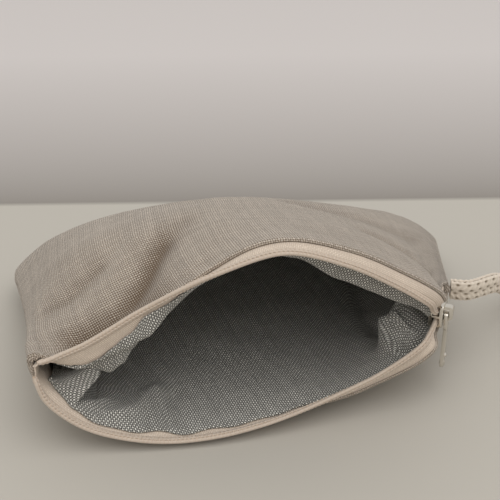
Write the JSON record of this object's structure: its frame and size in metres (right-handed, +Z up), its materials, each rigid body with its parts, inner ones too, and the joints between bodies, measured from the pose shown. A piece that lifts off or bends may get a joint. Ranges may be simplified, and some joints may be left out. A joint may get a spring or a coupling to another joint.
{
  "type": "lined zip pouch",
  "caption": "Small lined fabric pouch lying on its back with its coil zip open; a metal slider and pull close the mouth, and a braided wrist loop leaves the side seam.",
  "frame": {"origin": "middle of the flat patch of the back panel on which the pouch lies", "axes": "+X along the mouth from its left end to its slider end, +Y from the mouth to the bottom seam, +Z up off the table"},
  "size_m": [0.2204, 0.1035, 0.06],
  "materials": {
    "linen": "greige plain-weave linen, matte",
    "lining": "coarse two-tone plain weave, off-white and charcoal",
    "zip_tape": "cream woven polyester tape",
    "zip_coil": "cream nylon monofilament",
    "nickel": "polished nickel plate on die-cast zinc",
    "braid": "cream flat cotton braid"
  },
  "bodies": {
    "pouch": {"outer_front_panel": "linen", "outer_back_panel": "linen", "lining_front_panel": "lining", "lining_back_panel": "lining", "zip_tape_front": "zip_tape", "zip_tape_back": "zip_tape", "zip_coil_front": "zip_coil", "zip_coil_back": "zip_coil", "wrist_strap": "braid"},
    "slider": {"slider_body": "nickel"},
    "pull": {"pull_tab": "nickel"}
  },
  "joints": [
    {"name": "slider_travel", "type": "hinge", "parent": "pouch", "child": "slider", "pos_m": [-0.00504, -0.02507, 0.027], "axis": [0, 0, -1], "range_deg": [0, 109], "deforming": ["zip_tape_front", "zip_tape_back", "zip_coil_front", "zip_coil_back"]},
    {"name": "pull_swing", "type": "hinge", "parent": "slider", "child": "pull", "pos_m": [0.05479, -0.05517, 0.0253], "axis": [0.8829, -0.4695, 0], "range_deg": [-114, 65]}
  ]
}
